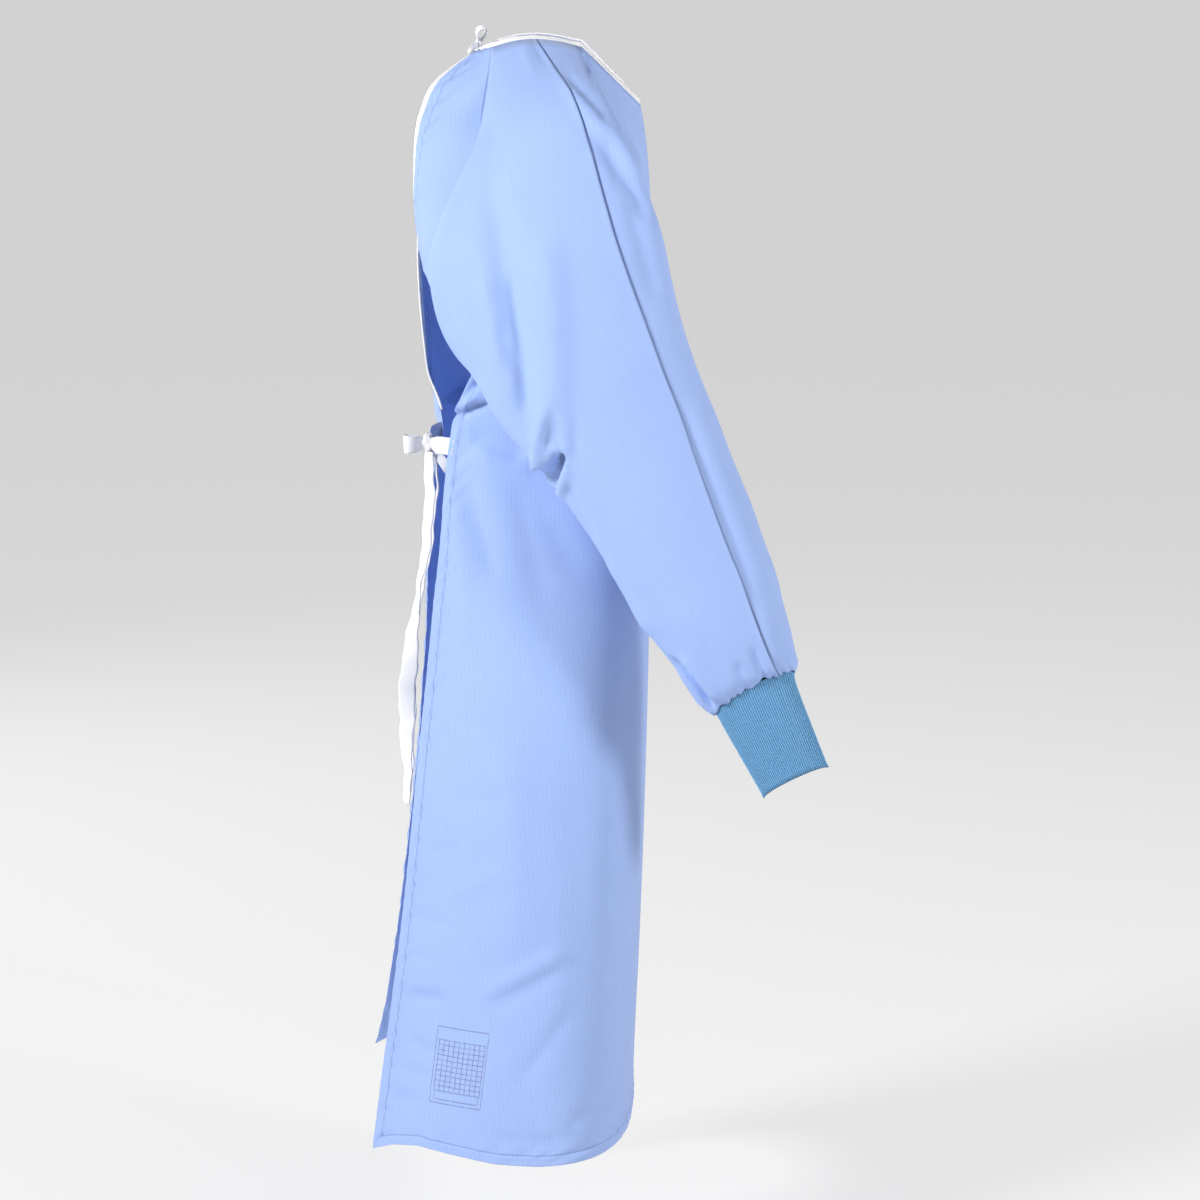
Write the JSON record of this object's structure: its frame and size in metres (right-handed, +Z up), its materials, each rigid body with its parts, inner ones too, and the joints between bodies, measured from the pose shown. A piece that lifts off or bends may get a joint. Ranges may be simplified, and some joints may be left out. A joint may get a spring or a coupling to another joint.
{
  "type": "long-sleeved surgical apron gown",
  "caption": "Long-sleeved surgical gown with an apron-like front that opens down the back, with raglan sleeves, knitted cuffs and tape ties at neck and waist, in its worn hollow form.",
  "frame": {"origin": "midway between the two shoulder points of the neckline, where the wearer's neck and shoulders hold the gown", "axes": "+Z up, the front of the gown faces -Y, the wearer's right sleeve is at -X"},
  "size_m": [0.5754, 0.5379, 1.2822],
  "materials": {
    "gown_cloth": "light blue woven polyester with fine vertical stripes",
    "rib_knit": "mid blue ribbed knit",
    "white_tape": "white cotton tape"
  },
  "bodies": {
    "root": {"body_panel": "gown_cloth", "sleeve_right_front": "gown_cloth", "sleeve_right_back": "gown_cloth", "sleeve_left_front": "gown_cloth", "sleeve_left_back": "gown_cloth", "cuff_right": "rib_knit", "cuff_left": "rib_knit", "back_binding_right": "white_tape", "back_binding_left": "white_tape", "neck_binding": "white_tape", "waist_knot": "white_tape", "waist_strap_right": "white_tape", "waist_strap_left": "white_tape", "waist_loop_outer": "white_tape", "waist_loop_inner": "white_tape", "waist_tail_outer": "white_tape", "waist_tail_inner": "white_tape", "neck_knot": "white_tape", "neck_strap_right": "white_tape", "neck_strap_left": "white_tape", "neck_loop_right": "white_tape", "neck_loop_left": "white_tape", "neck_tail_right": "white_tape", "neck_tail_left": "white_tape"}
  },
  "joints": []
}
